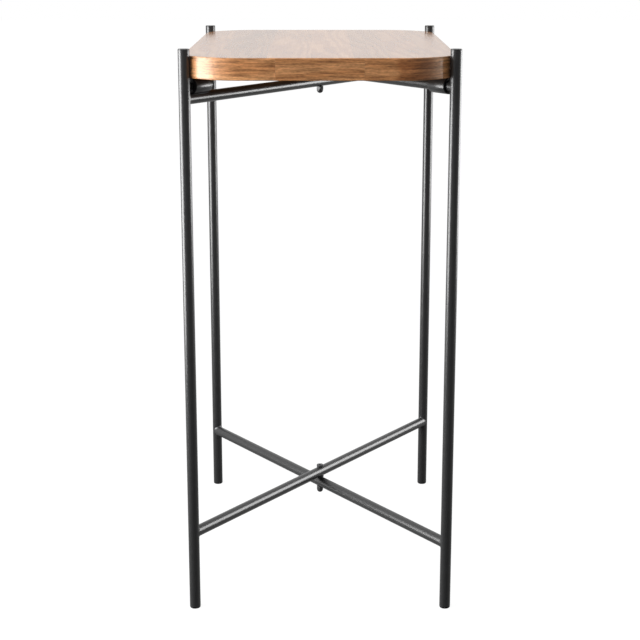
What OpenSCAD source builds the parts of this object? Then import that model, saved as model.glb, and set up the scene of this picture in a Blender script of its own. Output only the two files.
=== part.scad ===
// Folding tray table: a loose wooden tray that lies between the four legs of two
// crossed steel frames. The frames turn on two bolts that share one upright axis
// through the middle of the table, and four sleeves under the corners carry the tray.
//
// Frame A joins the front left and back right legs. Frame B joins the front right and
// back left legs. Millimetres. +Z is up and +Y runs from the front end to the back end.
// The origin is on the floor at the centre of the table.

/* [Tray] */
// Width of the tray, left to right
tray_width = 300; // [260:1:360]
// Length of the tray, front to back
tray_length = 480; // [400:1:560]
// Thickness of the tray
tray_thickness = 24; // [18:0.5:30]
// Radius of the tray's corners, seen from above
tray_corner_radius = 66; // [50:1:90]
// Thickness of the veneer on the top and on the underside
veneer_thickness = 0.6; // [0.4:0.1:2]
// Thickness of the band round the edge
edge_band_thickness = 1.5; // [0.8:0.1:4]
// Length of the short strip of band in the middle of each end
end_strip_length = 95; // [60:1:150]

/* [Legs] */
// Height of the table to the tops of the legs
leg_height = 650; // [500:1:800]
// Outer diameter of a leg
leg_diameter = 12.7; // [12.7:0.1:16]
// Wall of a leg tube
leg_wall = 1.4; // [1:0.1:2]
// How far the tops of the legs stand above the tray
leg_above_tray = 7.5; // [4:0.5:20]
// Where a leg stands against the rounded corner, measured from the X axis
leg_corner_angle = 30; // [20:1:60]
// Gap between a leg and the tray's corner
leg_gap = 0.35; // [0.3:0.05:1]
// Thickness of the part of a foot that shows below the tube
foot_thickness = 2; // [1:0.5:5]
// Thickness of the part of a top plug that shows above the tube
plug_thickness = 1; // [0.5:0.5:3]

/* [Rods] */
// Diameter of the rods that join the legs
rod_diameter = 12.7; // [10:0.1:12.7]
// Height of the axis of frame A's lower rod
lower_rod_a_height = 93.4; // [60:0.1:200]
// Gap between two rods where they cross
rod_gap = 0.6; // [0.6:0.1:3]

/* [Tray rests] */
// Diameter of the stubs that hold frame A's two sleeves
stub_diameter = 8; // [6:0.1:10]
// Outer diameter of a sleeve that carries the tray
sleeve_diameter = 18; // [17:0.1:20]
// Wall of a sleeve
sleeve_wall = 1.2; // [0.8:0.1:1.5]
// Thickness of the flange that a bush has at the end near the leg
flange_thickness = 1.2; // [0.8:0.1:3]
// Length of a sleeve with the flange of its bush
sleeve_length = 28.5; // [15:0.5:40]
// Distance from a leg's axis to the near end of its sleeve, flange included
sleeve_start = 9.5; // [9.5:0.5:30]
// Gap between the sleeves and the tray's underside
tray_seat_gap = 0.1; // [0.1:0.05:0.5]

/* [Pivots] */
// Diameter of the shank of a pivot bolt
bolt_diameter = 5; // [4:0.5:5]
// Radial clearance round the shank where it runs in a rod
bolt_clearance = 0.05; // [0.02:0.01:0.1]
// Diameter of the lower bolt's head
lower_head_diameter = 8.5; // [8:0.1:9]
// Height of the lower bolt's head
lower_head_height = 3.1; // [3:0.1:5]
// Diameter of the upper bolt's button head
upper_head_diameter = 8.6; // [8:0.1:9.5]
// Height of the upper bolt's button head, which stays under the tray
upper_head_height = 2; // [1.5:0.1:2.2]
// Size of a domed nut across its flats
nut_across_flats = 8; // [8:0.1:9]
// Length of a domed nut
nut_length = 8.3; // [8:0.1:11]

/* [Hidden] */

$fn = 64;

// Colours
STEEL = "#333436";
BLACK_PLASTIC = "#1a1a1b";
FASTENER = "#2a2b2d";
TOP_WOOD = "#c9a888";
EDGE_WOOD = "#8a6140";
CORE_WOOD = "#b08d62";

// Gap left where two pieces of one frame meet, as at a weld or a push fit
joint_gap = 0.05;
// Clear height between a piece that turns and the piece it turns against
turning_gap = 0.2;
// How far cutting shapes run past the faces that they cut
overcut = 1;

// Tray heights
tray_top = leg_height - leg_above_tray;
tray_bottom = tray_top - tray_thickness;

// Leg places: a leg stands against the rounded corner, leg_gap away from it
leg_radius = leg_diameter / 2;
corner_to_leg = tray_corner_radius + leg_radius + leg_gap;
leg_x = tray_width / 2 - tray_corner_radius + corner_to_leg * cos(leg_corner_angle);
leg_y = tray_length / 2 - tray_corner_radius + corner_to_leg * sin(leg_corner_angle);
half_diagonal = norm([leg_x, leg_y]);

// Signs of X and Y at each leg
FRONT_LEFT = [-1, -1];
FRONT_RIGHT = [1, -1];
BACK_LEFT = [-1, 1];
BACK_RIGHT = [1, 1];

// Heights of the rods' axes. The sleeves lie just under the tray on the axis of
// frame B's upper rod. Frame A's upper rod crosses under it, and frame A's two
// sleeves are on stubs above that rod and are grooved underneath to sit over it.
rod_radius = rod_diameter / 2;
sleeve_radius = sleeve_diameter / 2;
rest_height = tray_bottom - tray_seat_gap - sleeve_radius;
upper_rod_b_height = rest_height;
upper_rod_a_height = upper_rod_b_height - rod_gap - rod_diameter;
lower_rod_b_height = lower_rod_a_height - rod_gap - rod_diameter;

// Stubs, sleeves and bushes. The numbers from start to end are distances from the
// leg's axis.
sleeve_bore_radius = sleeve_radius - sleeve_wall;
flange_radius = sleeve_radius - 0.2;
flange_end = sleeve_start + flange_thickness;
bush_recess = 0.8;
bush_end = sleeve_start + sleeve_length - bush_recess;

// Pivots
bolt_radius = bolt_diameter / 2;
bore_radius = bolt_radius + bolt_clearance;
washer_radius = 5;
nut_skirt_height = 4;
nut_dome_radius = nut_across_flats / 2 - 0.05;
thread_engagement = 5;
bolt_end_gap = 0.2;
lower_socket_across_flats = 3;
lower_socket_depth = 2;
upper_socket_across_flats = 3;
upper_socket_depth = 1.2;

// Where each nut's flat face sits. The upper nut is tight against frame A's rod, and
// the lower nut clears frame B's rod, which turns above it.
upper_nut_face = upper_rod_a_height - rod_radius - joint_gap;
lower_nut_face = lower_rod_b_height - rod_radius - turning_gap;

// Plugs and feet
leg_bore_radius = leg_radius - leg_wall;
plug_shank_length = 10;

// Converts a hexagon's size across its flats to its radius at the corners
function hex_radius(across_flats) = across_flats / 2 / cos(30);

// ---------------------------------------------------------------- placing

// Moves children to the axis of the leg at corner c
module at_leg(c) {
    translate([c[0] * leg_x, c[1] * leg_y, 0])
        children();
}

// Moves children to height z on the axis of the leg at corner c, turned so that
// their +Z points at the middle of the table
module from_leg(c, z) {
    translate([c[0] * leg_x, c[1] * leg_y, z])
        rotate([0, 90, atan2(-c[1] * leg_y, -c[0] * leg_x)])
            children();
}

// ------------------------------------------------------------------- tray

// Outline of the tray, drawn in by inset all round
module tray_outline(inset) {
    r = tray_corner_radius - inset;
    x = tray_width / 2 - tray_corner_radius;
    y = tray_length / 2 - tray_corner_radius;
    square([2 * x, 2 * (y + r)], center = true);
    square([2 * (x + r), 2 * y], center = true);
    for (i = [-1, 1], j = [-1, 1])
        translate([i * x, j * y])
            circle(r = r, $fn = 96);
}

// One flat layer of the tray, between two heights
module tray_layer(low, high, inset = 0) {
    translate([0, 0, low])
        linear_extrude(height = high - low)
            tray_outline(inset);
}

// The whole band round the edge, between the two veneers
module edge_band() {
    difference() {
        tray_layer(tray_bottom + veneer_thickness, tray_top - veneer_thickness);
        tray_layer(tray_bottom, tray_top, edge_band_thickness);
    }
}

// Block that spans the short strips in the middle of the two ends
module end_strip_block() {
    translate([-end_strip_length / 2, -tray_length, 0])
        cube([end_strip_length, 2 * tray_length, leg_height]);
}

// The short strip of band at the end on side s of Y
module end_strip(s) {
    color(EDGE_WOOD)
        intersection() {
            edge_band();
            end_strip_block();
            translate([-tray_width, s > 0 ? 0 : -tray_length, 0])
                cube([2 * tray_width, tray_length, leg_height]);
        }
}

// The long strip of band on side s of X, round both of its corners
module side_strip(s) {
    color(EDGE_WOOD)
        difference() {
            intersection() {
                edge_band();
                translate([s > 0 ? 0 : -tray_width, -tray_length, 0])
                    cube([tray_width, 2 * tray_length, leg_height]);
            }
            end_strip_block();
        }
}

module tray_core() {
    color(CORE_WOOD)
        tray_layer(tray_bottom + veneer_thickness, tray_top - veneer_thickness,
            edge_band_thickness);
}

module tray_top_veneer() {
    color(TOP_WOOD)
        tray_layer(tray_top - veneer_thickness, tray_top);
}

module tray_bottom_veneer() {
    color(TOP_WOOD)
        tray_layer(tray_bottom, tray_bottom + veneer_thickness);
}

// ------------------------------------------------------------------- legs

module leg(c) {
    color(STEEL)
        at_leg(c)
            translate([0, 0, foot_thickness])
                difference() {
                    tube_length = leg_height - foot_thickness - plug_thickness;
                    cylinder(h = tube_length, r = leg_radius);
                    translate([0, 0, -overcut])
                        cylinder(h = tube_length + 2 * overcut, r = leg_bore_radius);
                }
}

// Foot glide: a flat pad with a shank pushed up into the tube
module foot(c) {
    color(BLACK_PLASTIC)
        at_leg(c) {
            cylinder(h = foot_thickness, r = leg_radius);
            cylinder(h = foot_thickness + plug_shank_length,
                r = leg_bore_radius - joint_gap);
        }
}

// Top plug: a flat cap with a shank pushed down into the tube
module top_plug(c) {
    color(STEEL)
        at_leg(c)
            translate([0, 0, leg_height])
                mirror([0, 0, 1]) {
                    cylinder(h = plug_thickness, r = leg_radius);
                    cylinder(h = plug_thickness + plug_shank_length,
                        r = leg_bore_radius - joint_gap);
                }
}

// ------------------------------------------------------------------- rods

// Rod from the leg at corner c to the leg diagonally across, with its ends coped
// round both legs and a bore for the pivot bolt through its middle
module rod(c, z) {
    color(STEEL)
        difference() {
            from_leg(c, z)
                cylinder(h = 2 * half_diagonal, r = rod_radius);
            for (end = [c, -c])
                at_leg(end)
                    cylinder(h = leg_height, r = leg_radius + joint_gap);
            translate([0, 0, z - rod_diameter])
                cylinder(h = 2 * rod_diameter, r = bore_radius);
        }
}

// Stub on frame A that carries a sleeve above the upper rod
module rest_stub(c) {
    color(STEEL)
        difference() {
            from_leg(c, rest_height)
                cylinder(h = bush_end, d = stub_diameter);
            at_leg(c)
                cylinder(h = leg_height, r = leg_radius + joint_gap);
        }
}

// Radius of what the sleeve at corner c turns round: frame A's stub or frame B's rod
function pin_radius(c) = c[0] == c[1] ? stub_diameter / 2 : rod_radius;

// Round tube from start to end on the axis of the sleeve at corner c
module rest_tube(c, start, end, outer, inner) {
    from_leg(c, rest_height)
        translate([0, 0, start])
            difference() {
                cylinder(h = end - start, r = outer);
                translate([0, 0, -overcut])
                    cylinder(h = end - start + 2 * overcut, r = inner);
            }
}

// Room for frame A's upper rod, which grooves frame A's sleeves and bushes underneath
module upper_rod_room(c) {
    if (c[0] == c[1])
        from_leg(c, upper_rod_a_height)
            cylinder(h = half_diagonal, r = rod_radius + joint_gap);
}

// Sleeve that the tray rests on
module rest_sleeve(c) {
    color(STEEL)
        difference() {
            rest_tube(c, flange_end + joint_gap, sleeve_start + sleeve_length,
                sleeve_radius, sleeve_bore_radius);
            upper_rod_room(c);
        }
}

// Bush that centres a sleeve on its stub or rod, with a flange at the end near the leg
module sleeve_bush(c) {
    bore = pin_radius(c) + joint_gap;
    color(BLACK_PLASTIC)
        difference() {
            union() {
                rest_tube(c, sleeve_start, flange_end, flange_radius, bore);
                rest_tube(c, sleeve_start, bush_end, sleeve_bore_radius - joint_gap, bore);
            }
            upper_rod_room(c);
        }
}

// ----------------------------------------------------------------- pivots

// Hexagonal socket, cut down from z = 0
module hex_socket(across_flats, depth) {
    translate([0, 0, -depth])
        cylinder(h = depth + overcut, r = hex_radius(across_flats), $fn = 6);
}

// Shank from height low to height high on the pivot axis
module shank(low, high) {
    translate([0, 0, low])
        cylinder(h = high - low, r = bolt_radius);
}

// Flat ring on the pivot axis, with its underside at height z
module pivot_ring(z, thickness) {
    color(FASTENER)
        translate([0, 0, z])
            difference() {
                cylinder(h = thickness, r = washer_radius);
                translate([0, 0, -overcut])
                    cylinder(h = thickness + 2 * overcut, r = bore_radius);
            }
}

// Domed nut that hangs below height z, bored for the bolt
module domed_nut(z) {
    color(FASTENER)
        translate([0, 0, z])
            mirror([0, 0, 1])
                difference() {
                    union() {
                        cylinder(h = nut_skirt_height, r = hex_radius(nut_across_flats), $fn = 6);
                        cylinder(h = nut_length - nut_dome_radius, r = nut_dome_radius);
                        translate([0, 0, nut_length - nut_dome_radius])
                            sphere(r = nut_dome_radius);
                    }
                    translate([0, 0, -overcut])
                        cylinder(h = thread_engagement + overcut, r = bolt_radius + joint_gap);
                }
}

// Button-headed bolt, clear of frame B's upper rod, which turns under its head
module upper_pivot_bolt() {
    head_seat = upper_rod_b_height + rod_radius + turning_gap;
    color(FASTENER)
        difference() {
            union() {
                shank(upper_nut_face - thread_engagement + bolt_end_gap, head_seat + overcut);
                translate([0, 0, head_seat])
                    button_head();
            }
            translate([0, 0, head_seat + upper_head_height])
                hex_socket(upper_socket_across_flats, upper_socket_depth);
        }
}

// Low rounded head, turned from its half outline
module button_head() {
    r = upper_head_diameter / 2;
    crown_radius = (r * r + upper_head_height * upper_head_height) / (2 * upper_head_height);
    intersection() {
        cylinder(h = upper_head_height, r = r);
        translate([0, 0, upper_head_height - crown_radius])
            sphere(r = crown_radius, $fn = 96);
    }
}

// Socket-headed bolt, tight on frame A's lower rod
module lower_pivot_bolt() {
    head_seat = lower_rod_a_height + rod_radius + joint_gap;
    color(FASTENER)
        difference() {
            union() {
                shank(lower_nut_face - thread_engagement + bolt_end_gap, head_seat + overcut);
                translate([0, 0, head_seat])
                    cylinder(h = lower_head_height, d = lower_head_diameter);
            }
            translate([0, 0, head_seat + lower_head_height])
                hex_socket(lower_socket_across_flats, lower_socket_depth);
        }
}

// Spacer between the upper rods, standing on frame A's rod
module upper_pivot_spacer() {
    low = upper_rod_a_height + rod_radius + joint_gap;
    high = upper_rod_b_height - rod_radius - turning_gap;
    pivot_ring(low, high - low);
}

// Washer between the lower rods, held up against frame A's rod
module lower_pivot_washer() {
    low = lower_rod_b_height + rod_radius + turning_gap;
    high = lower_rod_a_height - rod_radius - joint_gap;
    pivot_ring(low, high - low);
}

// ------------------------------------------------------------------ nodes

tray_core();
tray_top_veneer();
tray_bottom_veneer();
end_strip(-1);  // edge_band_front
end_strip(1);  // edge_band_back
side_strip(-1);  // edge_band_left
side_strip(1);  // edge_band_right

leg(FRONT_LEFT);  // leg_front_left
leg(BACK_RIGHT);  // leg_back_right
leg(FRONT_RIGHT);  // leg_front_right
leg(BACK_LEFT);  // leg_back_left
top_plug(FRONT_LEFT);  // top_plug_front_left
top_plug(BACK_RIGHT);  // top_plug_back_right
top_plug(FRONT_RIGHT);  // top_plug_front_right
top_plug(BACK_LEFT);  // top_plug_back_left
foot(FRONT_LEFT);  // foot_front_left
foot(BACK_RIGHT);  // foot_back_right
foot(FRONT_RIGHT);  // foot_front_right
foot(BACK_LEFT);  // foot_back_left

rod(FRONT_LEFT, upper_rod_a_height);  // upper_rod_a
rod(FRONT_LEFT, lower_rod_a_height);  // lower_rod_a
rod(FRONT_RIGHT, upper_rod_b_height);  // upper_rod_b
rod(FRONT_RIGHT, lower_rod_b_height);  // lower_rod_b

rest_stub(FRONT_LEFT);  // rest_stub_front_left
rest_stub(BACK_RIGHT);  // rest_stub_back_right
rest_sleeve(FRONT_LEFT);  // rest_sleeve_front_left
rest_sleeve(BACK_RIGHT);  // rest_sleeve_back_right
rest_sleeve(FRONT_RIGHT);  // rest_sleeve_front_right
rest_sleeve(BACK_LEFT);  // rest_sleeve_back_left
sleeve_bush(FRONT_LEFT);  // sleeve_bush_front_left
sleeve_bush(BACK_RIGHT);  // sleeve_bush_back_right
sleeve_bush(FRONT_RIGHT);  // sleeve_bush_front_right
sleeve_bush(BACK_LEFT);  // sleeve_bush_back_left

upper_pivot_bolt();
upper_pivot_spacer();
domed_nut(upper_nut_face);  // upper_pivot_nut
lower_pivot_bolt();
lower_pivot_washer();
domed_nut(lower_nut_face);  // lower_pivot_nut
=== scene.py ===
"""Looks of the folding tray table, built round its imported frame. Everything is in metres."""

import math

import bmesh
import bpy
from mathutils import Matrix, Vector, noise


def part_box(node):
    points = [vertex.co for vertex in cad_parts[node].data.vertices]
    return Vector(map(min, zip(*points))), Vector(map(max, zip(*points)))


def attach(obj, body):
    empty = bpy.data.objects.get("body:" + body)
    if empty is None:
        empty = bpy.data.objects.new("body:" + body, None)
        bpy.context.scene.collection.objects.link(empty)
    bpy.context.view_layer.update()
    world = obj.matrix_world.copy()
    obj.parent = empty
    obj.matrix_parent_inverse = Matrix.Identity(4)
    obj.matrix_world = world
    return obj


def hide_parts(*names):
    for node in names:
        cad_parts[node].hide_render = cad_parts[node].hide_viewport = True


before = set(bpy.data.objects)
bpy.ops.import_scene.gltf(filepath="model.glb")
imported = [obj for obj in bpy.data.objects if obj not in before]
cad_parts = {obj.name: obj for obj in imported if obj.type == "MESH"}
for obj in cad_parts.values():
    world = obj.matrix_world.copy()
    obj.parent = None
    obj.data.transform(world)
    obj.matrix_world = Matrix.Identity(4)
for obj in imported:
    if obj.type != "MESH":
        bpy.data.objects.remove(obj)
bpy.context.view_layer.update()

MM = 0.001
LEGS = ("front_left", "front_right", "back_left", "back_right")
BODY_OF = {"front_left": "frame_a", "back_right": "frame_a",
           "front_right": "frame_b", "back_left": "frame_b"}
OPPOSITE = {"front_left": "back_right", "back_right": "front_left",
            "front_right": "back_left", "back_left": "front_right"}

# Sleeve and bush details that a box can't give
FIT = 0.05 * MM
SLEEVE_WALL = 1.2 * MM
FLANGE = 1.2 * MM
RECESS = 0.8 * MM
# Pivot details that a box can't give: shank, and the hole for it in nuts and washers
SHANK_RADIUS = 2.5 * MM
HOLE_RADIUS = 2.55 * MM
# Tray details that a box can't give
CORNER_RADIUS = 66 * MM
VENEER = 0.6 * MM
BAND = 1.5 * MM
ARRIS = 1.2 * MM
HAIRLINE = 0.06 * MM
# Edges between the staves of the top, from left to right
STAVE_EDGES = [x * MM for x in (-111, -57, -10, 36, 76, 113)]
# A shade from 0 to 1 for each stave, left to right
STAVE_SHADES = (0.55, 0.15, 0.75, 0.95, 0.35, 0.70, 0.45)


# ---------------------------------------------------------------- node trees

class Nodes:
    """Short calls for building one node tree."""

    def __init__(self, tree):
        self.tree = tree
        self.tree.nodes.clear()

    def add(self, kind, **settings):
        node = self.tree.nodes.new(kind)
        for key, value in settings.items():
            setattr(node, key, value)
        return node

    def link(self, source, target):
        self.tree.links.new(source, target)

    def put(self, socket, value):
        """Links value to socket if it is a socket, and sets it if it is a number or a tuple."""
        if isinstance(value, bpy.types.NodeSocket):
            self.link(value, socket)
        else:
            socket.default_value = value

    def math(self, operation, a, b=0.0, c=0.0):
        node = self.add("ShaderNodeMath", operation=operation)
        for socket, value in zip(node.inputs, (a, b, c)):
            self.put(socket, value)
        return node.outputs[0]

    def scaled(self, vector, scale):
        """vector times scale, component by component."""
        node = self.add("ShaderNodeVectorMath", operation="MULTIPLY")
        self.put(node.inputs[0], vector)
        self.put(node.inputs[1], scale)
        return node.outputs[0]

    def combine(self, x, y, z):
        node = self.add("ShaderNodeCombineXYZ")
        for socket, value in zip(node.inputs, (x, y, z)):
            self.put(socket, value)
        return node.outputs[0]

    def split(self, vector):
        node = self.add("ShaderNodeSeparateXYZ")
        self.put(node.inputs[0], vector)
        return node.outputs

    def attribute(self, name, output):
        return self.add("ShaderNodeAttribute", attribute_name=name).outputs[output]

    def noise(self, vector, scale=1.0, detail=2.0, roughness=0.5):
        node = self.add("ShaderNodeTexNoise")
        self.put(node.inputs["Vector"], vector)
        node.inputs["Scale"].default_value = scale
        node.inputs["Detail"].default_value = detail
        node.inputs["Roughness"].default_value = roughness
        return node.outputs["Fac"]

    def span(self, value, low, high, to_low=0.0, to_high=1.0, smooth=True):
        """Maps value from low..high to to_low..to_high, held at the ends."""
        kind = "SMOOTHSTEP" if smooth else "LINEAR"
        node = self.add("ShaderNodeMapRange", interpolation_type=kind)
        self.put(node.inputs["Value"], value)
        ends = {"From Min": low, "From Max": high, "To Min": to_low, "To Max": to_high}
        for key, end in ends.items():
            self.put(node.inputs[key], end)
        return node.outputs["Result"]

    def mix(self, factor, a, b, blend="MIX"):
        node = self.add("ShaderNodeMix", data_type="RGBA", blend_type=blend)
        self.put(node.inputs["Factor"], factor)
        self.put(node.inputs["A"], a)
        self.put(node.inputs["B"], b)
        return node.outputs["Result"]

    def bump(self, height, strength, distance):
        node = self.add("ShaderNodeBump")
        node.inputs["Strength"].default_value = strength
        node.inputs["Distance"].default_value = distance
        self.put(node.inputs["Height"], height)
        return node.outputs["Normal"]


def new_material(name):
    """A material with a Principled shader. Returns it, its Nodes and the shader's inputs."""
    material = bpy.data.materials.new(name)
    material.use_nodes = True
    n = Nodes(material.node_tree)
    shader = n.add("ShaderNodeBsdfPrincipled")
    output = n.add("ShaderNodeOutputMaterial")
    n.link(shader.outputs[0], output.inputs["Surface"])
    return material, n, shader.inputs


def rgb(r, g, b):
    return (r, g, b, 1.0)


# ---------------------------------------------------------------- materials

def coated_steel(name, colour, roughness, grain):
    """Black powder coat: a fine orange-peel grain with a faint mottle in its gloss."""
    material, n, shader = new_material(name)
    place = n.add("ShaderNodeTexCoord").outputs["Object"]
    peel = n.noise(place, scale=1400, detail=2.0, roughness=0.6)
    mottle = n.noise(place, scale=140, detail=3.0, roughness=0.6)
    dark = tuple(0.93 * c for c in colour)
    n.link(n.mix(n.span(mottle, 0.35, 0.65), rgb(*dark), rgb(*colour)), shader["Base Color"])
    n.link(n.span(mottle, 0.3, 0.7, roughness - 0.01, roughness + 0.015), shader["Roughness"])
    n.link(n.bump(peel, grain, 0.05 * MM), shader["Normal"])
    shader["IOR"].default_value = 1.6
    return material


def black_plastic(name):
    """Dull black moulded plastic with a fine spark-eroded grain."""
    material, n, shader = new_material(name)
    place = n.add("ShaderNodeTexCoord").outputs["Object"]
    grain = n.noise(place, scale=2200, detail=2.0)
    cloud = n.noise(place, scale=90, detail=2.0)
    n.link(n.mix(cloud, rgb(0.004, 0.004, 0.0045), rgb(0.007, 0.007, 0.0075)), shader["Base Color"])
    n.link(n.span(cloud, 0.3, 0.7, 0.6, 0.7), shader["Roughness"])
    n.link(n.bump(grain, 0.25, 0.1 * MM), shader["Normal"])
    shader["Specular IOR Level"].default_value = 0.1
    return material


def wood(name, shift, tone=1.0, arches=0.0, streaks=0.45, relief=0.35, gloss=0.45, coat=0.45,
         coat_roughness=0.24, patch=None):
    """Brown hardwood under satin lacquer. The pieces' "grain" attribute gives the place along the grain,
    across it and into the wood.

    shift moves the pattern, and tone makes the wood lighter or darker.
    arches turns straight grain into cathedral arches.
    streaks is the strength of the fine streaks, and relief is how far the open grain can be felt.
    gloss is how strongly the bare wood reflects, and coat is how much clear lacquer there is.
    patch is (start, end) of a darker stretch along the grain."""
    material, n, shader = new_material(name)
    place_along, across, deep = n.split(n.attribute("grain", "Vector"))
    stave = n.attribute("stave", "Fac")
    along = n.math("ADD", place_along, n.math("MULTIPLY_ADD", stave, 1.7, shift))
    across_in_stave = n.math("SUBTRACT", across, n.attribute("stave_middle", "Fac"))

    def stretched(along_scale, across_scale, third=None, detail=2.0, roughness=0.5):
        """Noise drawn out along the grain. third takes the place of the depth into the wood."""
        if third is None:
            third = n.math("MULTIPLY", deep, across_scale)
        place = n.combine(n.math("MULTIPLY", along, along_scale),
                          n.math("MULTIPLY", across, across_scale), third)
        return n.noise(place, detail=detail, roughness=roughness)

    # Growth lines: the contours of a smooth field, straight or arched, made wavy by noise
    wander = stretched(3.0, 24.0, stave)
    wobble = stretched(14.0, 90.0, stave, detail=3.0)
    arch = n.math("MULTIPLY", n.math("POWER", n.math("MULTIPLY", across_in_stave, 62.0), 2.0), arches)
    field = n.math("ADD", n.math("MULTIPLY", across, 150.0), arch)
    field = n.math("ADD", field, n.math("MULTIPLY", along, 9.0 * (arches + 0.25)))
    field = n.math("ADD", field, n.math("MULTIPLY", wander, 9.0))
    field = n.math("ADD", field, n.math("MULTIPLY", wobble, 1.6))
    growth = n.math("SINE", n.math("MULTIPLY", field, 2.6))
    growth = n.span(growth, -0.9, 1.0)

    # Fibres, pores, streaks and flecks along the grain, and broad dark clouds
    fibre = stretched(22.0, 900.0, detail=4.0, roughness=0.65)
    pores = n.span(stretched(150.0, 2600.0), 0.60, 0.70)
    streak = stretched(30.0, 430.0, detail=1.5, roughness=0.6)
    fleck = stretched(210.0, 700.0, detail=1.0)
    cloud = stretched(6.0, 30.0, stave, detail=3.0, roughness=0.6)

    light = rgb(0.54 * tone, 0.265 * tone, 0.112 * tone)
    medium = rgb(0.44 * tone, 0.196 * tone, 0.076 * tone)
    dark = rgb(0.28 * tone, 0.112 * tone, 0.040 * tone)
    pore_colour = rgb(0.10, 0.042, 0.018)
    colour = n.mix(growth, light, medium)
    colour = n.mix(n.span(cloud, 0.42, 0.78, 0.0, 0.8), colour, dark)
    colour = n.mix(n.span(fibre, 0.35, 0.75, 0.0, 0.25 + 0.7 * streaks), colour, dark)
    broad = n.span(streak, 0.30, 0.70, 1 - streaks, 1 + streaks, smooth=False)
    fine = n.span(fleck, 0.30, 0.70, -0.45 * streaks, 0.45 * streaks, smooth=False)
    shade = n.math("ADD", broad, fine)
    colour = n.mix(1.0, colour, n.combine(shade, shade, shade), blend="MULTIPLY")
    colour = n.mix(n.math("MULTIPLY", pores, 0.02 + 1.2 * streaks), colour, pore_colour)
    swing = (0.44, 0.44, 0.40)
    stave_tint = n.combine(*[n.math("MULTIPLY_ADD", stave, k, 1.0 - k / 2) for k in swing])
    colour = n.mix(1.0, colour, stave_tint, blend="MULTIPLY")
    if patch:
        start, end = patch
        edge = n.math("MULTIPLY_ADD", n.math("SUBTRACT", wobble, 0.5), 0.030, place_along)
        inside = n.math("MULTIPLY", n.span(edge, start, start + 0.009),
                        n.span(edge, end, end + 0.02, 1.0, 0.0))
        darker = n.mix(1.0, colour, rgb(0.62, 0.50, 0.43), blend="MULTIPLY")
        colour = n.mix(n.math("MULTIPLY", inside, 0.85), colour, darker)
    n.link(colour, shader["Base Color"])

    rough = n.span(fibre, 0.3, 0.8, 0.42, 0.52)
    n.link(n.math("ADD", rough, n.math("MULTIPLY", pores, 0.12)), shader["Roughness"])
    height = n.math("SUBTRACT", n.math("MULTIPLY", fibre, 0.5), pores)
    n.link(n.bump(height, relief, 0.06 * MM), shader["Normal"])
    shader["IOR"].default_value = 1.5
    shader["Specular IOR Level"].default_value = gloss
    shader["Specular Tint"].default_value = rgb(1.0, 0.82, 0.66)
    shader["Coat Weight"].default_value = coat
    shader["Coat Roughness"].default_value = coat_roughness
    return material


# ------------------------------------------------------------- mesh building

def placed(origin, direction):
    """Matrix that puts local z = 0 at origin and turns local +Z along direction."""
    return Matrix.Translation(origin) @ Vector(direction).to_track_quat("Z", "Y").to_matrix().to_4x4()


def rounded(corners, radius, steps=4):
    """The polyline through corners, with its inner corners rounded to radius."""
    points = [Vector(corners[0])]
    for before, corner, after in zip(corners, corners[1:], corners[2:]):
        before, corner, after = Vector(before), Vector(corner), Vector(after)
        a = (before - corner).normalized()
        b = (after - corner).normalized()
        reach = min(radius, 0.45 * (before - corner).length, 0.45 * (after - corner).length)
        for i in range(steps + 1):
            t = i / steps
            points.append(corner + a * reach * (1 - t) ** 2 + b * reach * t ** 2)
    points.append(Vector(corners[-1]))
    return points


def loft(rings, closed=False):
    """Vertices and faces of a skin through rings of equal count. A ring of one point is a tip. The first
    and last rings are capped, or joined to each other if closed."""
    verts, faces, starts = [], [], []
    for ring in rings:
        starts.append((len(verts), len(ring)))
        verts.extend(ring)
    pairs = list(zip(starts, starts[1:]))
    if closed:
        pairs.append((starts[-1], starts[0]))
    for (a, count_a), (b, count_b) in pairs:
        count = max(count_a, count_b)
        for i in range(count):
            j = (i + 1) % count
            if count_a == 1:
                faces.append((a, b + j, b + i))
            elif count_b == 1:
                faces.append((a + i, a + j, b))
            else:
                faces.append((a + i, a + j, b + j, b + i))
    if not closed:
        first, last = starts[0], starts[-1]
        if first[1] > 2:
            faces.append(tuple(reversed(range(first[0], first[0] + first[1]))))
        if last[1] > 2:
            faces.append(tuple(range(last[0], last[0] + last[1])))
    return verts, faces


def turned(profile, matrix, segments=72, closed=False):
    """A shape turned about local Z from (radius, height) points. Radius 0 makes a tip."""
    rings = []
    for r, z in profile:
        if r < 1e-7:
            rings.append([matrix @ Vector((0, 0, z))])
        else:
            turn = [2 * math.pi * i / segments for i in range(segments)]
            rings.append([matrix @ Vector((r * math.cos(t), r * math.sin(t), z)) for t in turn])
    return loft(rings, closed)


def skin(name, verts, faces, merge=False):
    """A mesh of verts and faces with its normals turned outward. merge joins vertices that coincide."""
    mesh = bpy.data.meshes.new(name)
    mesh.from_pydata([tuple(v) for v in verts], [], faces)
    bm = bmesh.new()
    bm.from_mesh(mesh)
    if merge:
        bmesh.ops.remove_doubles(bm, verts=bm.verts, dist=0.001 * MM)
    bmesh.ops.recalc_face_normals(bm, faces=bm.faces)
    bm.to_mesh(mesh)
    bm.free()
    return mesh


def piece(name, shapes, material, body, replaced=(), sharp=35):
    verts, faces = [], []
    for v, f in shapes:
        faces.extend(tuple(i + len(verts) for i in face) for face in f)
        verts.extend(v)
    mesh = skin(name, verts, faces, merge=True)
    mesh.materials.append(material)
    finished(name, mesh, body, replaced, sharp)


def finished(name, mesh, body, replaced, sharp=35):
    """Shades mesh smooth but for edges sharper than sharp degrees, and makes it ride on body."""
    mesh.shade_smooth()
    mesh.set_sharp_from_angle(angle=math.radians(sharp))
    obj = bpy.data.objects.new(name, mesh)
    bpy.context.scene.collection.objects.link(obj)
    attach(obj, body)
    if replaced:
        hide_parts(*replaced)


# ----------------------------------------------------- places from the frame

def middle(node):
    low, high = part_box(node)
    return (low + high) / 2


def size(node):
    low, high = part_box(node)
    return high - low


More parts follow.
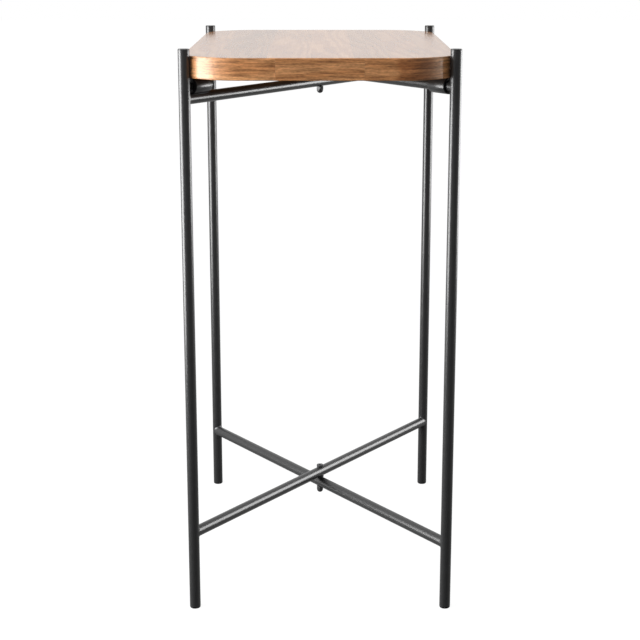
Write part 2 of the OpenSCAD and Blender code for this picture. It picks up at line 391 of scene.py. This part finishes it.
LEG_AXIS = {leg: middle("leg_" + leg).xy for leg in LEGS}
LEG_RADIUS = size("leg_front_left").x / 2
LEG_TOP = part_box("top_plug_front_left")[1].z
ROD_RADIUS = size("lower_rod_a").z / 2
STUB_RADIUS = size("rest_stub_front_left").z / 2
REST_HEIGHT = middle("upper_rod_b").z


def inward(leg):
    """Unit vector from a leg's axis to the middle of the table."""
    return -LEG_AXIS[leg].to_3d().normalized()


def at_leg(leg, z, out=0.0):
    """Point on a leg's axis at height z, moved inward by out."""
    return Vector((*LEG_AXIS[leg], z)) + inward(leg) * out


def span_along_rod(node, leg, radius):
    """Start and end of a round piece that lies on the line from leg to the middle, from its axis."""
    way = inward(leg)
    extent = size(node)
    length = (extent.x - 2 * radius * abs(way.y)) / abs(way.x)
    centre = (middle(node) - at_leg(leg, middle(node).z)).dot(way)
    return centre - length / 2, centre + length / 2


# ----------------------------------------------------------------- the frames

def leg_pieces(leg, steel, plastic):
    """A leg tube, the plug that closes its top and the foot under it."""
    body = BODY_OF[leg]
    low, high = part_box("leg_" + leg)
    here = placed(Vector((*LEG_AXIS[leg], 0)), (0, 0, 1))
    r = LEG_RADIUS
    cap_radius = r - 0.05 * MM
    pad_radius = r - 0.15 * MM
    pad_edge = 0.9 * MM
    tube = rounded([(0, low.z), (r, low.z), (r, high.z), (0, high.z)], 0.3 * MM)
    piece("leg_tube_" + leg, [turned(tube, here, 96)], steel, body, ["leg_" + leg])
    cap = rounded([(0, high.z), (cap_radius, high.z), (cap_radius, LEG_TOP), (0, LEG_TOP)], 0.45 * MM)
    piece("leg_cap_" + leg, [turned(cap, here, 96)], steel, body, ["top_plug_" + leg])
    pad = rounded([(0, 0), (r - pad_edge, 0), (pad_radius, pad_edge), (pad_radius, low.z), (0, low.z)],
                  0.5 * MM)
    piece("foot_pad_" + leg, [turned(pad, here, 96)], plastic, body, ["foot_" + leg])


def cope(offset, reach=0.0):
    """How far from a leg's axis its surface lies, at offset to the side of a rod's line."""
    offset = min(abs(offset), LEG_RADIUS)
    return math.sqrt(LEG_RADIUS ** 2 - offset ** 2) + reach


def bar(leg, z, radius, end, segments=72):
    """A round bar from the leg's surface to end, a distance from the leg's axis, or if end is None to the
    opposite leg."""
    here = placed(at_leg(leg, z), inward(leg))
    turn = [2 * math.pi * i / segments for i in range(segments)]
    # Local X and Y are horizontal and upright in some order, so the side offset is measured in the world
    side = Vector((0, 0, 1)).cross(inward(leg))

    def ring(r, place):
        points = []
        for t in turn:
            flat = here.to_3x3() @ Vector((r * math.cos(t), r * math.sin(t), 0))
            points.append(at_leg(leg, z) + flat + inward(leg) * place(flat.dot(side)))
        return points

    sunk = 0.25 * MM
    clear = 3 * MM
    rings = [ring(radius, lambda offset: cope(offset, -sunk)),
             ring(radius, lambda offset: cope(offset, clear))]
    if end is None:
        length = 2 * LEG_AXIS[leg].length
        for k in range(1, 8):
            rings.append(ring(radius, lambda offset, k=k: length * k / 8))
        rings.append(ring(radius, lambda offset: length - cope(offset, clear)))
        rings.append(ring(radius, lambda offset: length - cope(offset, -sunk)))
    else:
        chamfer = 0.5 * MM
        rings.append(ring(radius, lambda offset: end - chamfer))
        rings.append(ring(radius - chamfer, lambda offset: end))
    return loft(rings)


def weld(leg, z, radius, seed, segments=120):
    """A small rippled weld bead round a bar where it meets a leg. Each section of it runs from the bar's
    surface to the leg's, on a curve that stands a little proud where the two surfaces run together."""
    way, up = inward(leg), Vector((0, 0, 1))
    side = up.cross(way)
    centre = at_leg(leg, z)
    seam = []
    for i in range(segments):
        t = 2 * math.pi * i / segments
        wrap = LEG_RADIUS * math.asin(min(1.0, radius / LEG_RADIUS * math.cos(t)))
        seam.append((wrap, radius * math.sin(t), t))
    bead, ripple, ripples = 1.35 * MM, 0.09 * MM, 28
    proud, sunk, root = 0.18 * MM, 0.2 * MM, 0.5 * MM
    rings = []
    for i, (wrap, height, t) in enumerate(seam):
        before, after = seam[i - 1], seam[(i + 1) % segments]
        outward = Vector((after[1] - before[1], before[0] - after[0])).normalized()
        swell = 1 + 0.15 * noise.noise(Vector((math.cos(t), math.sin(t), seed)) * 2.5)
        width = bead * swell + ripple * math.sin(ripples * t)

        def on_leg(reach, lift):
            angle = (wrap + outward.x * reach) / LEG_RADIUS
            normal = side * math.sin(angle) + way * math.cos(angle)
            return centre + normal * (LEG_RADIUS + lift) + up * (height + outward.y * reach)

        def on_bar(reach, lift):
            normal = side * math.cos(t) + up * math.sin(t)
            return centre + normal * (radius + lift) + way * (cope(radius * math.cos(t)) + reach)

        start, end = on_bar(width, 0.0), on_leg(width, 0.0)
        crook = (on_bar(0.0, proud) + on_leg(0.0, proud)) / 2
        crook = crook.lerp((start + end) / 2, 0.35)
        ring = [on_bar(width, -sunk)]
        for k in range(7):
            u = k / 6
            ring.append(start * (1 - u) ** 2 + crook * 2 * u * (1 - u) + end * u ** 2)
        ring.append(on_leg(width, -sunk))
        ring.append((on_bar(0.0, -root) + on_leg(0.0, -root)) / 2)
        rings.append(ring)
    return loft(rings, closed=True)


def rest_tube(leg, steps, segments=120):
    """A tube round a tray rest's axis, through steps of (distance from the leg's axis, outer radius, inner
    radius, inset). On frame A it has a groove or a slot along its underside, where it sits over the upper
    rod. The inset is how far an end's edges are rounded off, so the groove widens by it there."""
    here = at_leg(leg, REST_HEIGHT)
    way, up = inward(leg), Vector((0, 0, 1))
    side = up.cross(way)
    drop = REST_HEIGHT - middle("upper_rod_a").z
    groove = ROD_RADIUS + FIT if BODY_OF[leg] == "frame_a" else 0.0

    def reach(angle, inset):
        """Distance from the axis to the groove, at angle from straight down."""
        rho = groove + inset
        if math.cos(angle) <= 0 or abs(drop * math.sin(angle)) >= rho:
            return math.inf
        return drop * math.cos(angle) - math.sqrt(rho ** 2 - (drop * math.sin(angle)) ** 2)

    def section(big, small, inset):
        """The section's outer points and inner points, as (radius, angle from straight down), and whether
        it is slotted."""
        open_angle = 0.0
        if groove and reach(0.0, inset) < small:
            low, high = 0.0, math.pi / 2
            for _ in range(40):
                open_angle = (low + high) / 2
                if reach(open_angle, inset) < small:
                    low = open_angle
                else:
                    high = open_angle
        turn = [open_angle + (2 * math.pi - 2 * open_angle) * i / segments for i in range(segments + 1)]
        if not open_angle:
            turn.pop()
        outside = [(min(big, reach(a, inset)), a) for a in turn]
        inside = [(small, a) for a in turn]
        return outside, inside, bool(open_angle)

    verts, faces, starts = [], [], []
    for place, big, small, inset in steps:
        outside, inside, slotted = section(big, small, inset)
        starts.append(len(verts))
        for r, a in outside + inside:
            verts.append(here + way * place + side * (r * math.sin(a)) - up * (r * math.cos(a)))
    count = len(outside)
    pairs = [(i, i + 1) for i in range(count - 1)]
    if not slotted:
        pairs.append((count - 1, 0))
    for a, b in zip(starts, starts[1:]):
        for i, j in pairs:
            faces.append((a + i, a + j, b + j, b + i))
            faces.append((a + count + i, b + count + i, b + count + j, a + count + j))
        if slotted:
            for i in (0, count - 1):
                faces.append((a + i, b + i, b + count + i, a + count + i))
    for a in (starts[0], starts[-1]):
        for i, j in pairs:
            faces.append((a + i, a + j, a + count + j, a + count + i))
    return verts, faces


def rounded_end(place, outer, inner, edge, way):
    """Steps of a tube's end at place, from the end into the tube. way is 1 at the start, -1 at the end."""
    return [(place, outer - edge, inner + edge, edge),
            (place + way * 0.3 * edge, outer - 0.3 * edge, inner + 0.3 * edge, 0.3 * edge),
            (place + way * edge, outer, inner, 0.0)]


def rest_pieces(leg, steel, plastic):
    """The sleeve that carries one corner of the tray, its flanged bush and, on frame A, its stub. The
    black of the bush's flange is partly painted shade: it closes the sleeve's near end and stands in for
    the shade inside an open tube end.
    """
    body = BODY_OF[leg]
    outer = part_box("rest_sleeve_" + leg)[1].z - REST_HEIGHT
    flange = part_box("sleeve_bush_" + leg)[1].z - REST_HEIGHT
    start, end = span_along_rod("rest_sleeve_" + leg, leg, outer)
    inner = outer - SLEEVE_WALL
    steps = rounded_end(start, outer, inner, 0.25 * MM, 1)
    steps += reversed(rounded_end(end, outer, inner, 0.4 * MM, -1))
    piece("tray_sleeve_" + leg, [rest_tube(leg, steps)], steel, body,
          ["rest_sleeve_" + leg])

    # The bush's flange is black plastic across the sleeve's end, and its black is partly painted shade,
    # standing in for the dark inside an open tube end
    pin = STUB_RADIUS if body == "frame_a" else ROD_RADIUS
    bore, shank = pin + FIT, inner - FIT
    near = start - FIT - FLANGE
    steps = rounded_end(near, flange, bore, 0.25 * MM, 1)
    steps += [(start - FIT, flange, bore, 0.0), (start - FIT, shank, bore, 0.0)]
    steps += reversed(rounded_end(end - RECESS, shank, bore, 0.15 * MM, -1))
    piece("bush_" + leg, [rest_tube(leg, steps)], plastic, body, ["sleeve_bush_" + leg])
    if body == "frame_a":
        stub = bar(leg, REST_HEIGHT, STUB_RADIUS, end - RECESS)
        piece("stub_" + leg, [stub], steel, body, ["rest_stub_" + leg])


def rod_pieces(steel):
    """The four rods, and the welds where rods and stubs meet legs."""
    starts = {"a": "front_left", "b": "front_right"}
    for letter, leg in starts.items():
        body = "frame_" + letter
        seams = []
        for level in ("upper", "lower"):
            node = f"{level}_rod_{letter}"
            z = middle(node).z
            piece(f"{level}_bar_{letter}", [bar(leg, z, ROD_RADIUS, None)], steel, body,
                  [node])
            seams += [(end, z, ROD_RADIUS) for end in (leg, OPPOSITE[leg])]
        if letter == "a":
            seams += [(end, REST_HEIGHT, STUB_RADIUS) for end in (leg, OPPOSITE[leg])]
        welds = [weld(end, z, radius, seed) for seed, (end, z, radius) in enumerate(seams)]
        piece("welds_" + letter, welds, steel, body, sharp=60)


# ----------------------------------------------------------------- the pivots

def hexagon(across_flats, t):
    """Distance from the middle to the side of a hexagon, at angle t."""
    sector = math.pi / 3
    return across_flats / 2 / math.cos((t + sector / 2) % sector - sector / 2)


def rings_at(levels, segments=72):
    """Rings round the pivot axis. Each level is (radius or a function of the angle, height)."""
    rings = []
    for radius, z in levels:
        if not callable(radius) and radius < 1e-7:
            rings.append([Vector((0, 0, z))])
            continue
        turn = [2 * math.pi * i / segments for i in range(segments)]
        reach = [radius(t) if callable(radius) else radius for t in turn]
        rings.append([Vector((r * math.cos(t), r * math.sin(t), z)) for r, t in zip(reach, turn)])
    return rings


def socket_levels(across_flats, top, depth):
    """Levels of a hexagonal socket with a drilled bottom, from its mouth down."""
    mouth = 0.15 * MM
    return [(lambda t: hexagon(across_flats, t) + mouth, top),
            (lambda t: hexagon(across_flats, t), top - mouth),
            (lambda t: hexagon(across_flats, t), top - depth),
            (across_flats * 0.35, top - depth - 0.1 * MM),
            (0.0, top - depth - 0.35 * MM)]


def pivot_bolt(name, node, seat, head_radius, knurled, depth, fastener):
    """A bolt on the pivot axis, from its lower end to its socket head. A knurled head is a cylinder, any
    other is a low dome."""
    low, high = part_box(node)
    knurl_count = 24
    knurl_depth = 0.10 * MM if knurled else 0.0

    def side(t):
        return head_radius - knurl_depth * (0.5 + 0.5 * math.cos(knurl_count * t))

    edge = 0.45 * MM
    point = 0.4 * MM
    under = 0.2 * MM
    levels = [(0.0, low.z), (SHANK_RADIUS - point, low.z), (SHANK_RADIUS, low.z + point),
              (SHANK_RADIUS, seat), (head_radius - under, seat), (side, seat + under)]
    if knurled:
        levels += [(side, high.z - edge - 0.35 * MM), (head_radius - 0.05 * MM, high.z - edge),
                   (head_radius - 0.3 * edge, high.z - 0.3 * edge), (head_radius - edge, high.z)]
    else:
        rise = high.z - seat - under
        last_lean = math.radians(62)
        for k in range(1, 7):
            lean = k / 6 * last_lean
            radius = head_radius - 0.55 * head_radius * (1 - math.cos(lean))
            levels.append((radius, seat + under + rise * math.sin(lean) / math.sin(last_lean)))
    levels += socket_levels(3 * MM, high.z, depth)
    piece(name, [loft(rings_at(levels, 144))], fastener, "frame_a", [node])


def domed_nut(name, node, fastener):
    """A domed nut: chamfered hexagonal skirt above, dome below."""
    low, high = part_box(node)
    across = min(size(node).x, size(node).y)
    skirt = 4 * MM
    dome = across / 2 - FIT
    corner = across / 2 / math.cos(math.radians(30))
    levels = [(HOLE_RADIUS, high.z), (across / 2 - 0.1 * MM, high.z)]

    def cut_hexagon(reach, z):
        """A level of the hexagon with its corners cut: reach 0 leaves a circle, 1 the whole hexagon."""
        limit = across / 2 + (corner - across / 2) * reach
        return lambda t: min(hexagon(across, t), limit), z

    chamfer = ((0.0, 0.0), (0.25, 0.6), (0.5, 1.0))
    levels += [cut_hexagon(reach, high.z - step * MM) for step, reach in chamfer]
    levels += [cut_hexagon(reach, high.z - skirt + step * MM) for step, reach in reversed(chamfer)]
    centre = low.z + dome
    for k in range(9):
        lean = math.radians(90) * k / 8
        levels.append((dome * math.cos(lean) if k < 8 else 0.0, centre - dome * math.sin(lean)))
    piece(name, [loft(rings_at(levels, 96))], fastener, "frame_a", [node], sharp=28)


def washer(name, node, fastener):
    """A flat ring on the pivot axis, with its edges broken."""
    low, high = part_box(node)
    outer, inner = size(node).x / 2, HOLE_RADIUS
    mid = (outer + inner) / 2
    edge = min(0.3 * MM, 0.3 * (high.z - low.z))
    profile = rounded([(mid, low.z), (outer, low.z), (outer, high.z), (mid, high.z)], edge)
    profile += rounded([(mid, high.z), (inner, high.z), (inner, low.z), (mid, low.z)], edge)[1:-1]
    shape = turned(profile, Matrix.Identity(4), 72, closed=True)
    piece(name, [shape], fastener, "frame_a", [node])


def pivot_pieces(fastener):
    lower_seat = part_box("lower_rod_a")[1].z + 0.05 * MM
    upper_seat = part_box("upper_rod_b")[1].z + 0.2 * MM
    pivot_bolt("lower_bolt", "lower_pivot_bolt", lower_seat, head_radius=4.25 * MM, knurled=True,
               depth=2 * MM, fastener=fastener)
    pivot_bolt("upper_bolt", "upper_pivot_bolt", upper_seat, head_radius=4.3 * MM, knurled=False,
               depth=1.2 * MM, fastener=fastener)
    domed_nut("lower_nut", "lower_pivot_nut", fastener)
    domed_nut("upper_nut", "upper_pivot_nut", fastener)
    washer("lower_washer", "lower_pivot_washer", fastener)
    washer("upper_spacer", "upper_pivot_spacer", fastener)


# ------------------------------------------------------------------- the tray

TRAY_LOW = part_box("tray_bottom_veneer")[0]
TRAY_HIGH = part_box("tray_top_veneer")[1]
HALF_WIDTH, HALF_LENGTH = TRAY_HIGH.x, TRAY_HIGH.y
END_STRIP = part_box("edge_band_front")[1].x
CORNER_STEPS = 40
# How far inside the outline the flat of a face starts
FACE_INSET = 6 * MM


def edge_inset(z):
    """How far the tray's side lies inside its full outline at height z, where the arrises are eased."""
    near = min(z - TRAY_LOW.z, TRAY_HIGH.z - z)
    if near >= ARRIS:
        return 0.0
    return ARRIS - math.sqrt(max(0.0, ARRIS ** 2 - (ARRIS - near) ** 2))


def outline():
    """Points round the tray as (point, outward normal, distance round), anticlockwise from the middle of
    the front end."""
    cx, cy = HALF_WIDTH - CORNER_RADIUS, HALF_LENGTH - CORNER_RADIUS
    corners = [(cx, -cy, -90), (cx, cy, 0), (-cx, cy, 90), (-cx, -cy, 180)]
    points = [(Vector((x, -HALF_LENGTH)), Vector((0, -1))) for x in (0.0, END_STRIP)]
    for x, y, start in corners:
        for i in range(CORNER_STEPS + 1):
            angle = math.radians(start + 90 * i / CORNER_STEPS)
            normal = Vector((math.cos(angle), math.sin(angle)))
            points.append((Vector((x, y)) + normal * CORNER_RADIUS, normal))
        if (x, y) == (cx, cy):
            points += [(Vector((s, HALF_LENGTH)), Vector((0, 1))) for s in (END_STRIP, 0.0, -END_STRIP)]
    points.append((Vector((-END_STRIP, -HALF_LENGTH)), Vector((0, -1))))
    around, result = 0.0, []
    for i, (p, normal) in enumerate(points):
        if i:
            around += (p - points[i - 1][0]).length
        result.append((p, normal, around))
    return result


def set_grain(mesh, grain, stave, stave_middle):
    """Stores where each vertex is in the wood. stave and stave_middle are functions that give the shade
    of a face's stave and the middle of it, from the face's centre."""
    layer = mesh.attributes.new("grain", "FLOAT_VECTOR", "POINT")
    for i, value in enumerate(grain):
        layer.data[i].vector = value
    for name, value_at in (("stave", stave), ("stave_middle", stave_middle)):
        layer = mesh.attributes.new(name, "FLOAT", "FACE")
        for i, polygon in enumerate(mesh.polygons):
            layer.data[i].value = value_at(polygon.center)


def stave_of(x):
    """Which stave x is in, and the x of its middle."""
    edges = [-HALF_WIDTH] + STAVE_EDGES + [HALF_WIDTH]
    for k, (low, high) in enumerate(zip(edges, edges[1:])):
        if x <= high:
            return k, (low + high) / 2
    return len(edges) - 2, (edges[-2] + edges[-1]) / 2


def face_veneer(name, node, face_z, inner_z, material):
    """The top or bottom face of the tray: staves glued edge to edge, with an eased arris all round."""
    side = 1 if face_z > inner_z else -1
    points = outline()

    def ring_at(inset, z):
        return [(p - normal * inset).to_3d() + Vector((0, 0, z)) for p, normal, _ in points]

    rings = [ring_at(FACE_INSET, inner_z)]
    steps = 8
    low_lean = math.asin(1 - VENEER / ARRIS)
    for k in range(steps + 1):
        lean = low_lean + (math.pi / 2 - low_lean) * k / steps
        z = face_z - side * ARRIS * (1 - math.sin(lean))
        rings.append(ring_at(ARRIS * (1 - math.cos(lean)), z))
    rings.append(ring_at(FACE_INSET, face_z))
    verts, faces = loft(rings)
    bm = bmesh.new()
    made = [bm.verts.new(v) for v in verts]
    for face in faces:
        bm.faces.new([made[i] for i in face])
    bmesh.ops.recalc_face_normals(bm, faces=bm.faces)
    for x in STAVE_EDGES:
        everything = bm.verts[:] + bm.edges[:] + bm.faces[:]
        bmesh.ops.bisect_plane(bm, geom=everything, plane_co=(x, 0, 0), plane_no=(1, 0, 0))
    mesh = bpy.data.meshes.new(name)
    bm.to_mesh(mesh)
    bm.free()
    set_grain(mesh, [(v.co.y, v.co.x, v.co.z) for v in mesh.vertices],
              stave=lambda c: STAVE_SHADES[stave_of(c.x)[0]],
              stave_middle=lambda c: stave_of(c.x)[1])
    mesh.materials.append(material)
    finished(name, mesh, "tray", [node])


def edge_strip(name, node, first, last, material):
    """A stretch of the edge band, from outline point first to point last, with hairline joints."""
    points = outline()
    picked = points[first:last + 1] if first < last else points[first:] + points[:last + 1]
    whole = points[-1][2] + END_STRIP
    z_low, z_high = TRAY_LOW.z + VENEER, TRAY_HIGH.z - VENEER
    eased = ARRIS - VENEER
    heights = [z_low + eased * k / 3 for k in range(3)]
    heights += [z_low + eased + (z_high - z_low - 2 * eased) * k / 6 for k in range(7)]
    heights += [z_high - eased * (2 - k) / 3 for k in range(3)]
    rings, grain = [], []
    for i, (p, normal, around) in enumerate(picked):
        along = around if around >= picked[0][2] else around + whole
        nudge = Vector((0, 0))
        if i in (0, len(picked) - 1):
            way = Vector((-normal.y, normal.x))
            nudge = way * HAIRLINE * (1 if i == 0 else -1)
        ring = [(p + nudge - normal * edge_inset(z)).to_3d() + Vector((0, 0, z)) for z in heights]
        ring += [(p + nudge - normal * BAND).to_3d() + Vector((0, 0, z)) for z in (z_high, z_low)]
        rings.append(ring)
        grain += [(along, v.z, 0.0) for v in ring]
    mesh = skin(name, *loft(rings))
    set_grain(mesh, grain, stave=lambda _: 0.5, stave_middle=lambda _: (z_low + z_high) / 2)
    mesh.materials.append(material)
    finished(name, mesh, "tray", [node], sharp=30)


def tray_pieces():
    """The tray's faces and edge strips. The core stays as it is, hidden, in plain wood."""
    top = wood("walnut_top", 0.0, tone=1.18, arches=1.0, streaks=0.05, relief=0.06, coat=1.0,
               coat_roughness=0.17)
    face_veneer("tray_top_face", "tray_top_veneer", TRAY_HIGH.z, TRAY_HIGH.z - VENEER, top)
    under = wood("walnut_underside", 3.1, tone=1.0, arches=0.6, streaks=0.12, relief=0.2,
                 gloss=0.08, coat=0.0)
    face_veneer("tray_under_face", "tray_bottom_veneer", TRAY_LOW.z, TRAY_LOW.z + VENEER, under)
    joints = [i for i, (p, _, _) in enumerate(outline())
              if abs(abs(p.x) - END_STRIP) < 1e-6 and abs(abs(p.y) - HALF_LENGTH) < 1e-6]
    front_right, back_right, back_left, front_left = joints
    edge_strip("edge_front", "edge_band_front", front_left, front_right,
               wood("walnut_edge_front", 1.3, tone=0.96))
    edge_strip("edge_right", "edge_band_right", front_right, back_right,
               wood("walnut_edge_right", 2.2, tone=1.0, arches=0.3, patch=(0.079, 0.114)))
    edge_strip("edge_back", "edge_band_back", back_right, back_left,
               wood("walnut_edge_back", 4.4, tone=1.10))
    edge_strip("edge_left", "edge_band_left", back_left, front_left,
               wood("walnut_edge_left", 5.7, tone=1.10))
    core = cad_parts["tray_core"]
    core.data.materials[0] = plain_board("core_wood")


def plain_board(name):
    """Unfinished board inside the tray, never in sight."""
    material, n, shader = new_material(name)
    place = n.scaled(n.add("ShaderNodeTexCoord").outputs["Object"], (260.0, 14.0, 260.0))
    fibre = n.noise(place, detail=3.0)
    n.link(n.mix(fibre, rgb(0.38, 0.25, 0.14), rgb(0.52, 0.37, 0.22)), shader["Base Color"])
    shader["Roughness"].default_value = 0.7
    return material


# ------------------------------------------------------------- floor and light

def floor():
    """A pale matt floor that glows, so that it is as white as the background. It shows in no reflection
    and throws no light on the table, so that the legs stay dark low down."""
    mesh = bpy.data.meshes.new("floor")
    reach = 12.0
    mesh.from_pydata([(-reach, -reach, 0), (reach, -reach, 0), (reach, reach, 0), (-reach, reach, 0)],
                     [], [(0, 1, 2, 3)])
    material, _, shader = new_material("pale_floor")
    shader["Base Color"].default_value = rgb(0.12, 0.12, 0.12)
    shader["Roughness"].default_value = 1.0
    shader["Specular IOR Level"].default_value = 0.0
    shader["Emission Color"].default_value = rgb(1.0, 1.0, 1.0)
    shader["Emission Strength"].default_value = 0.925
    mesh.materials.append(material)
    obj = bpy.data.objects.new("floor", mesh)
    bpy.context.scene.collection.objects.link(obj)
    obj.visible_glossy = False
    obj.visible_diffuse = False


def softbox(name, centre, width, height, target, watts, diffuse=True, glossy=True):
    """A rectangular area light that faces target and isn't seen by the camera itself. It can be left out
    of the diffuse light or of the reflections."""
    light = bpy.data.lights.new(name, "AREA")
    light.shape = "RECTANGLE"
    light.size, light.size_y = width, height
    light.energy = watts
    obj = bpy.data.objects.new(name, light)
    obj.location = centre
    obj.rotation_euler = (Vector(target) - Vector(centre)).to_track_quat("-Z", "Y").to_euler()
    obj.visible_camera = False
    obj.visible_diffuse = diffuse
    obj.visible_glossy = glossy
    bpy.context.scene.collection.objects.link(obj)


def studio():
    """White surroundings for the camera. For light and reflections they are bright behind the table and
    above it, and dim in front of it and low down."""
    scene = bpy.context.scene
    scene.view_settings.view_transform = "Standard"
    world = bpy.data.worlds.new("studio")
    scene.world = world
    world.use_nodes = True
    n = Nodes(world.node_tree)
    _, y, z = n.split(n.add("ShaderNodeTexCoord").outputs["Generated"])
    back = n.span(y, -1.0, 0.65, 0.08, 0.82, smooth=False)
    low = n.span(z, -0.45, -0.05, 0.5, 1.0)
    around = n.math("MULTIPLY", back, low)
    above = n.span(z, 0.25, 0.85)
    level = n.math("MULTIPLY_ADD", above, n.math("SUBTRACT", 0.84, around), around)
    seen = n.add("ShaderNodeLightPath").outputs["Is Camera Ray"]
    strength = n.math("MULTIPLY_ADD", seen, n.math("SUBTRACT", 1.0, level), level)
    background = n.add("ShaderNodeBackground")
    background.inputs["Color"].default_value = rgb(1.0, 1.0, 1.0)
    n.link(strength, background.inputs["Strength"])
    output = n.add("ShaderNodeOutputWorld")
    n.link(background.outputs[0], output.inputs["Surface"])
    softbox("streak_left", (-1.25, -0.36, 0.62), width=0.86, height=1.15, target=(0, -0.36, 0.62),
            watts=37, diffuse=False)
    softbox("streak_right", (1.25, 0.42, 0.64), width=0.95, height=0.87, target=(0, 0.42, 0.64),
            watts=20, diffuse=False)
    softbox("soft_left", (-1.25, -0.65, 0.80), width=0.9, height=1.1, target=(0, -0.2, 0.5),
            watts=27, glossy=False)
    softbox("fill_left", (-0.95, -1.25, 0.80), width=0.80, height=1.0, target=(0, 0, 0.4),
            watts=3, glossy=False)


def camera():
    """The camera, in front of the table's front end and above it, looking slightly down."""
    pitch = 14.2
    data = bpy.data.cameras.new("camera")
    data.sensor_width = 36.0
    data.lens = 86.5
    obj = bpy.data.objects.new("camera", data)
    obj.location = (0.0, -1.886, 0.773)
    obj.rotation_euler = (math.radians(90.0 - pitch), 0.0, 0.0)
    bpy.context.scene.collection.objects.link(obj)
    bpy.context.scene.camera = obj


# --------------------------------------------------------------------- making

camera()
studio()
floor()
steel = coated_steel("black_powder_coat", (0.030, 0.0303, 0.031), roughness=0.285, grain=0.035)
fastener = coated_steel("black_fastener_coat", (0.050, 0.051, 0.053), roughness=0.36, grain=0.04)
plastic = black_plastic("black_moulded_plastic")
for leg in LEGS:
    leg_pieces(leg, steel, plastic)
    rest_pieces(leg, steel, plastic)
rod_pieces(steel)
pivot_pieces(fastener)
tray_pieces()
